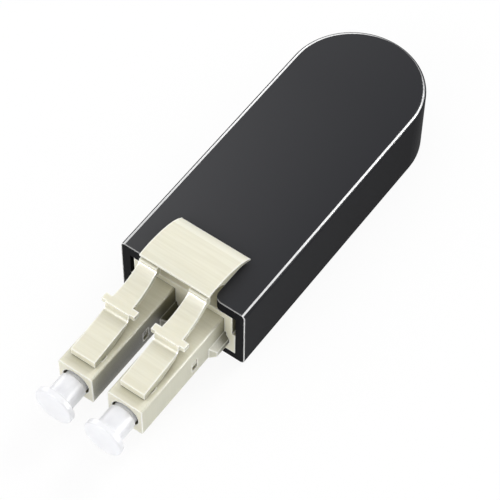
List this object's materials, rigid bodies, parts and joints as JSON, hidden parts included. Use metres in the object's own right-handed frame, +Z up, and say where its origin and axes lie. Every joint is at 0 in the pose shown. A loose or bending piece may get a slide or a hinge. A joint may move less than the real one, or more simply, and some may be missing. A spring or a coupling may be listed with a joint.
{
  "type": "fibre loopback plug",
  "caption": "Fibre loopback plug: a round-backed moulded housing that returns light from one LC connector to its neighbour, with latches under a shared trigger and dust caps.",
  "frame": {"origin": "on the flat base of the housing, at the middle of its front edge", "axes": "+X across the connectors, +Y from the connectors towards the round back, +Z up from the base"},
  "size_m": [0.0156, 0.0565, 0.0113],
  "materials": {
    "housing_plastic": "satin moulded",
    "connector_plastic": "satin moulded",
    "spring_steel": "drawn wire",
    "zirconia": "polished ceramic",
    "nickel_plate": "satin plated",
    "fibre_jacket": "smooth",
    "cap_plastic": "translucent"
  },
  "bodies": {
    "loop_plug": {"housing_shell": "housing_plastic", "duplex_clip": "connector_plastic", "plug_body_left": "connector_plastic", "plug_body_right": "connector_plastic", "rear_body_left": "connector_plastic", "rear_body_right": "connector_plastic", "spring_left": "spring_steel", "spring_right": "spring_steel", "crimp_sleeve_left": "nickel_plate", "crimp_sleeve_right": "nickel_plate", "fibre_loop": "fibre_jacket"},
    "trigger_lever": {"trigger": "connector_plastic"},
    "latch_arm_left": {"latch_left": "connector_plastic"},
    "latch_arm_right": {"latch_right": "connector_plastic"},
    "ferrule_set_left": {"ferrule_left": "zirconia", "ferrule_flange_left": "nickel_plate"},
    "ferrule_set_right": {"ferrule_right": "zirconia", "ferrule_flange_right": "nickel_plate"},
    "cap_left": {"dust_cap_left": "cap_plastic"},
    "cap_right": {"dust_cap_right": "cap_plastic"}
  },
  "joints": [
    {"name": "trigger_press", "type": "hinge", "parent": "loop_plug", "child": "trigger_lever", "pos_m": [0, 0.00485, 0.008], "axis": [1, 0, 0], "range_deg": [0, 10], "stiffness_Nm_per_rad": 0.1},
    {"name": "latch_left_flex", "type": "hinge", "parent": "loop_plug", "child": "latch_arm_left", "pos_m": [-0.00313, -0.011, 0.00675], "axis": [-1, 0, 0], "range_deg": [0, 6]},
    {"name": "latch_right_flex", "type": "hinge", "parent": "loop_plug", "child": "latch_arm_right", "pos_m": [0.00313, -0.011, 0.00675], "axis": [-1, 0, 0], "range_deg": [0, 6]},
    {"name": "ferrule_left_push", "type": "slide", "parent": "loop_plug", "child": "ferrule_set_left", "axis": [0, 1, 0], "range_m": [0, 0.0008], "stiffness_N_per_m": 600, "deforming": ["spring_left"]},
    {"name": "ferrule_right_push", "type": "slide", "parent": "loop_plug", "child": "ferrule_set_right", "axis": [0, 1, 0], "range_m": [0, 0.0008], "stiffness_N_per_m": 600, "deforming": ["spring_right"]},
    {"name": "dust_cap_left_pull", "type": "slide", "parent": "ferrule_set_left", "child": "cap_left", "axis": [0, -1, 0], "range_m": [0, 0.004]},
    {"name": "dust_cap_right_pull", "type": "slide", "parent": "ferrule_set_right", "child": "cap_right", "axis": [0, -1, 0], "range_m": [0, 0.004]}
  ],
  "couplings": [
    {"joint": "latch_left_flex", "follows": "trigger_press", "ratio": 0.6},
    {"joint": "latch_right_flex", "follows": "trigger_press", "ratio": 0.6}
  ]
}
